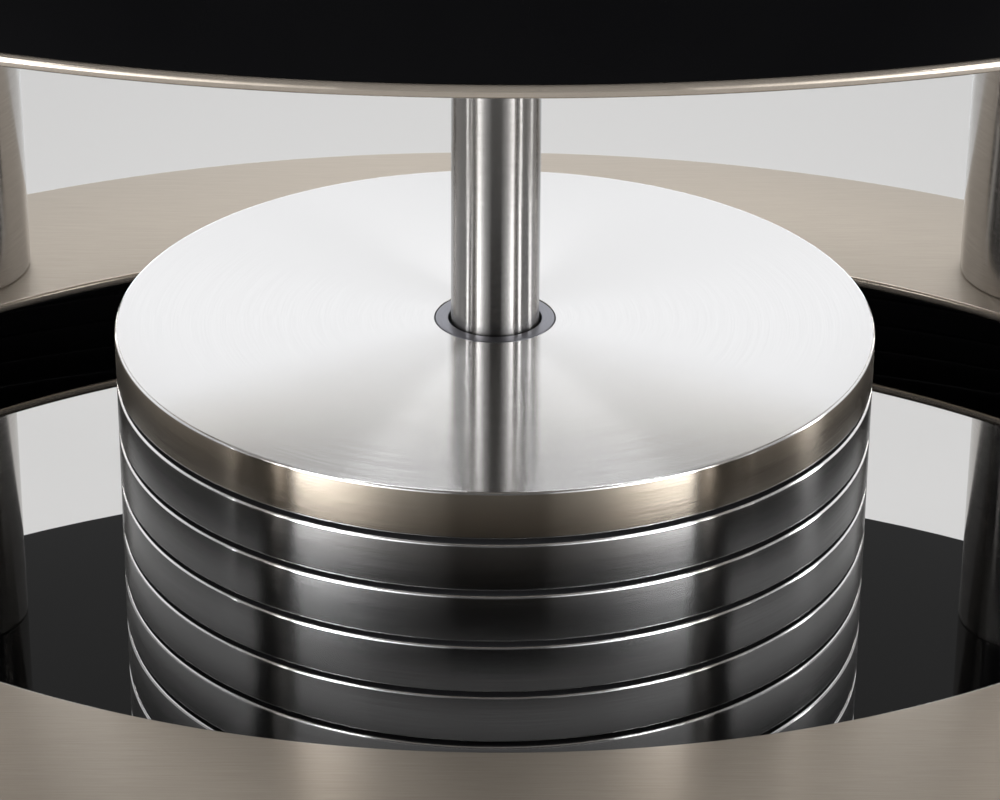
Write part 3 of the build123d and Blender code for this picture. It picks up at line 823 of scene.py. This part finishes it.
def make_panel_details():
    """Dark glass of the display with the speed in lit bars."""
    low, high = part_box("control_panel")
    middle = (low + high) / 2
    half = Vector((display_w / 2 - display_gap, display_d / 2 - display_gap, 0))
    floor = Vector((middle.x, middle.y, high.z - display_depth))
    glass = slab("display_glass", floor - half, floor + half + Vector((0, 0, display_t)), display_edge)
    added(glass, "tower", materials["black_gloss"])
    face_z = floor.z + display_t
    margin = Vector((bar_t, bar_t, 0)) / 2
    start = middle.x - digit_pitch * len(shown_digits) / 2
    bars = []
    for index, digit in enumerate(shown_digits):
        x = start + index * digit_pitch + (dot_gap if index == dot_place else 0)
        for near, far in digit_bars[digit]:
            across = Vector((far[0] + near[0], far[1] + near[1])) / 2
            reach = Vector((abs(far[0] - near[0]) * digit_w, abs(far[1] - near[1]) * digit_h, 0)) / 2 + margin
            centre = Vector((x + across.x * digit_w, middle.y + across.y * digit_h, 0))
            bars.append(bar(f"bar_{len(bars)}", centre - reach, centre + reach, face_z))
    dot_x = start + digit_pitch * len(shown_digits) / 2 + dot_gap / 2 + digit_w / 2
    dot = Vector((dot_x, middle.y - digit_h / 2, 0))
    bars.append(bar("bar_point", dot - margin, dot + margin, face_z))
    digits = joined("display_digits", bars)
    added(digits, "tower", lit_material("display_light", glow_color, glow_strength))


def make_arm_details():
    """Headshell with bevelled edges, its two screws and finger lift, and the cartridge."""
    low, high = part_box("arm_headshell")
    middle = (low + high) / 2
    shell = slab("headshell_plate", low, high, shell_edge)
    lift_low = Vector((high.x - shell_edge, middle.y - lift_w / 2, middle.z - lift_t / 2))
    lift = slab("finger_lift", lift_low, lift_low + Vector((lift_reach, lift_w, lift_t)), lift_t / 3)
    stands_for(joined("arm_headshell_form", [shell, lift]), "arm_headshell")
    low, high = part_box("arm_cartridge")
    middle = (low + high) / 2
    body = slab("cartridge_body", Vector((low.x, low.y, high.z - cartridge_h)), high, cartridge_edge)
    tip = turned("stylus_tip", [(stylus_r / 4, low.z), (stylus_r, low.z + stylus_r * 2),
                                (stylus_r, high.z - cartridge_h + stylus_r)], False, (middle.x, middle.y))
    stands_for(joined("arm_cartridge_form", [body, tip]), "arm_cartridge")
    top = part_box("arm_headshell")[1].z
    head_top = top + screw_h
    head = [(screw_slot_r, top + screw_h / 2), (screw_slot_r, head_top), (screw_r - shell_edge, head_top),
            (screw_r, head_top - shell_edge), (screw_r, top)]
    heads = [turned(f"screw_head_{side + 1}", head, False, (middle.x + side * screw_x, middle.y))
             for side in (-1, 1)]
    screws = joined("headshell_screws", heads)
    added(screws, "arm", material_of("arm_headshell"))


make_platforms()
make_discs()
make_columns()
make_rod()
make_platter()
make_panel_details()
make_arm_details()


# Stage
floor_size = 60.0
floor_color = (0.66, 0.655, 0.65)
floor_rough = 0.7

# Upright lamps round the part: azimuths and steps in degrees, widths and heights in metres
lamp_distance = 2.0
lamp_low = 0.1
lamp_high = 1.9
lamp_spread = 60.0
upright_lamps = {
    "left_lamp": {"azimuth": -53.5, "width": 0.67, "power": 9.5},
    "left_strip": {"azimuth": -74.0, "width": 0.14, "power": 1.7},
    "left_high": {"azimuth": -88.0, "width": 0.8, "power": 0.6, "low": 1.0, "high": 1.5},
    "right_lamp": {"azimuth": 57.0, "width": 0.7, "power": 10.5},
    "right_high": {"azimuth": 80.0, "width": 0.7, "power": 0.6, "low": 1.0, "high": 1.5},
    "right_strip": {"azimuth": 99.0, "width": 0.28, "power": 2.2},
}

# Rows of narrow lamps that fade from the two large ones towards the front
graded_shares = (0.68, 0.46, 0.28, 0.17, 0.11, 0.07, 0.04)
graded_step = 4.5
graded_w = 0.157
left_graded_azimuth = -41.75
left_graded_power = 2.2
right_graded_azimuth = 44.75
right_graded_power = 2.4

# Lamps aimed at a point, from above, from in front and from low behind
aimed_lamps = {
    "key_lamp": {
        "place": (0.1, 1.3, 3.3), "aim": (0, 0.3, 0), "width": 1.6, "height": 1.0, "power": 52,
        "spread": 180},
    "left_top": {
        "place": (-1.6, -1.2, 1.9), "aim": (0, 0, 0.3), "width": 0.9, "height": 0.5, "power": 1.1},
    "right_top": {
        "place": (1.6, -1.2, 1.9), "aim": (0, 0, 0.3), "width": 0.9, "height": 0.5, "power": 1.1},
    "low_lamp": {
        "place": (0, 1.3, 0.02), "aim": (0, 0.4, 0.55), "width": 1.8, "height": 0.7, "power": 7.5,
        "spread": 80, "color": (0.82, 0.91, 1.0)},
}

# Room: its brightness in front, low at the back and overhead, and where it changes
room_front = 0.08
room_back = 1.0
room_top = 0.3
back_rise = (-0.2, 0.5)
top_rise = (0.45, 0.95)

# Camera
camera_distance_y = 1241.75 * mm
camera_rise = 580.01 * mm
aim_x = 2.04 * mm
aim_drop = 34.4 * mm
camera_roll_deg = 0.372
focal_mm = 133.46
sensor_mm = 36.0
camera_reach = 50


def make_floor():
    """Plain pale floor."""
    half = floor_size / 2
    corners = [(-half, -half, 0), (half, -half, 0), (half, half, 0), (-half, half, 0)]
    mesh = bpy.data.meshes.new("studio_floor")
    mesh.from_pydata(corners, [], [(0, 1, 2, 3)])
    floor = bpy.data.objects.new("studio_floor", mesh)
    bpy.context.scene.collection.objects.link(floor)
    material, shader = new_material("studio_floor", floor_color, 0, floor_rough)
    mesh.materials.append(material)


def area_lamp(name, place, aim, width, height, power, spread=lamp_spread, color=(1, 1, 1)):
    """Soft lamp aimed at a point, its light held within a spread in degrees."""
    light = bpy.data.lights.new(name, "AREA")
    light.shape = "RECTANGLE"
    light.size = width
    light.size_y = height
    light.energy = power
    light.color = color
    light.spread = math.radians(spread)
    lamp = bpy.data.objects.new(name, light)
    lamp.location = place
    lamp.rotation_euler = (Vector(aim) - Vector(place)).to_track_quat("-Z", "Y").to_euler()
    lamp.visible_camera = False
    bpy.context.scene.collection.objects.link(lamp)


def upright_lamp(name, azimuth, width, power, low=lamp_low, high=lamp_high):
    """Upright soft lamp that stands round the part, its azimuth counted from the front to the right."""
    turn = math.radians(azimuth)
    height = (low + high) / 2
    place = (lamp_distance * math.sin(turn), -lamp_distance * math.cos(turn), height)
    area_lamp(name, place, (0, 0, height), width, high - low, power)


def make_lamps():
    """Upright lamps on both sides with their fading rows, and the aimed lamps."""
    for name, settings in upright_lamps.items():
        upright_lamp(name, **settings)
    for index, share in enumerate(graded_shares):
        turn = index * graded_step
        left_power = left_graded_power * share
        right_power = right_graded_power * share
        upright_lamp(f"left_grade_{index}", left_graded_azimuth + turn, graded_w, left_power)
        upright_lamp(f"right_grade_{index}", right_graded_azimuth - turn, graded_w, right_power)
    for name, settings in aimed_lamps.items():
        area_lamp(name, **settings)


def make_room():
    """Room that is dark in front, palest low at the back and greyer overhead."""
    world = bpy.data.worlds.new("studio_world")
    world.use_nodes = True
    places = axis_values(world, add(world, "TexCoord").outputs["Generated"])
    back = smooth_rise(world, places["y"], *back_rise)
    gain = smooth_rise(world, places["z"], *top_rise, room_back - room_front, room_top - room_front)
    brightness = math_node(world, "ADD", math_node(world, "MULTIPLY", back, gain), room_front)
    join(world, brightness, world.node_tree.nodes["Background"].inputs["Color"])
    bpy.context.scene.world = world


def make_camera():
    """Camera at the photograph's place and angle."""
    stack_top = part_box("weight_disc_1")[1].z
    data = bpy.data.cameras.new("camera")
    data.lens = focal_mm
    data.sensor_width = sensor_mm
    data.clip_end = camera_reach
    camera = bpy.data.objects.new("camera", data)
    camera.location = (0, -camera_distance_y, stack_top + camera_rise)
    aim = Vector((aim_x, 0, stack_top - aim_drop))
    look = (aim - camera.location).to_track_quat("-Z", "Y")
    camera.rotation_mode = "QUATERNION"
    camera.rotation_quaternion = look @ Quaternion((0, 0, 1), math.radians(camera_roll_deg))
    bpy.context.scene.collection.objects.link(camera)
    bpy.context.scene.camera = camera


make_floor()
make_lamps()
make_room()
make_camera()
bpy.context.scene.view_settings.view_transform = "Standard"
